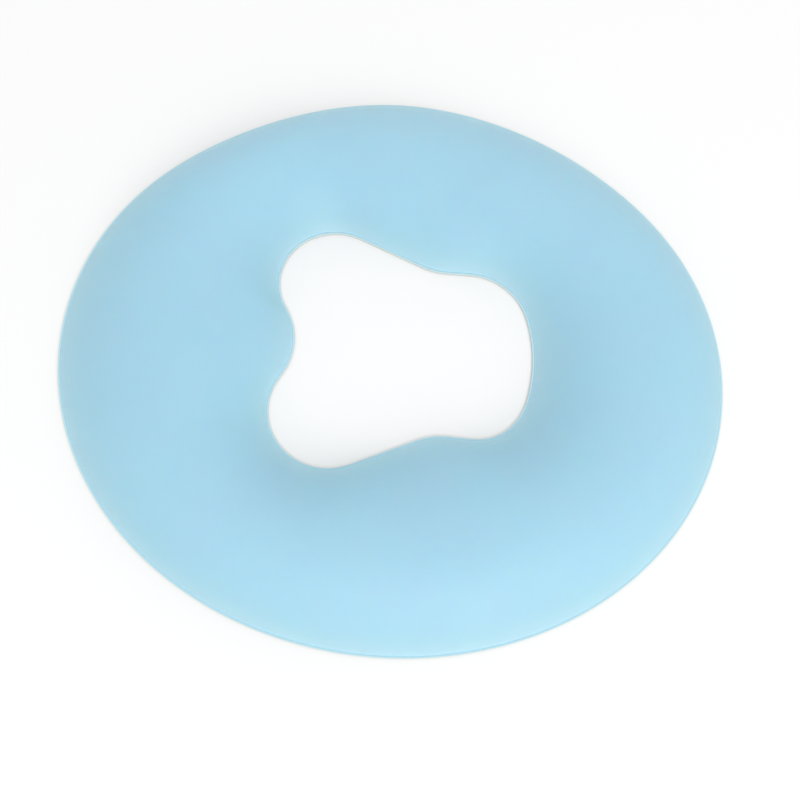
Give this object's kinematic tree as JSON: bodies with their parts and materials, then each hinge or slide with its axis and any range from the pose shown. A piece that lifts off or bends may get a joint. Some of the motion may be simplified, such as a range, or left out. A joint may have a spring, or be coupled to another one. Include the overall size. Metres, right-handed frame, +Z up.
{
  "type": "face cradle cushion",
  "caption": "Oval crowned gel face pad with a lobed opening for the eyes, nose and mouth, lying flat on a massage table's face cradle.",
  "frame": {"origin": "centre of the pad's outline, on its flat underside", "axes": "+X from the forehead end to the chin end, +Z up through the crown"},
  "size_m": [0.3, 0.264, 0.022],
  "materials": {
    "gel": "soft clear blue gel",
    "upper_film": "satin translucent film",
    "lower_film": "matt translucent film",
    "weld": "trimmed edge of two fused films"
  },
  "bodies": {
    "root": {"gel_core": "gel", "upper_skin": "upper_film", "lower_skin": "lower_film", "outer_weld": "weld", "opening_weld": "weld"}
  },
  "joints": []
}
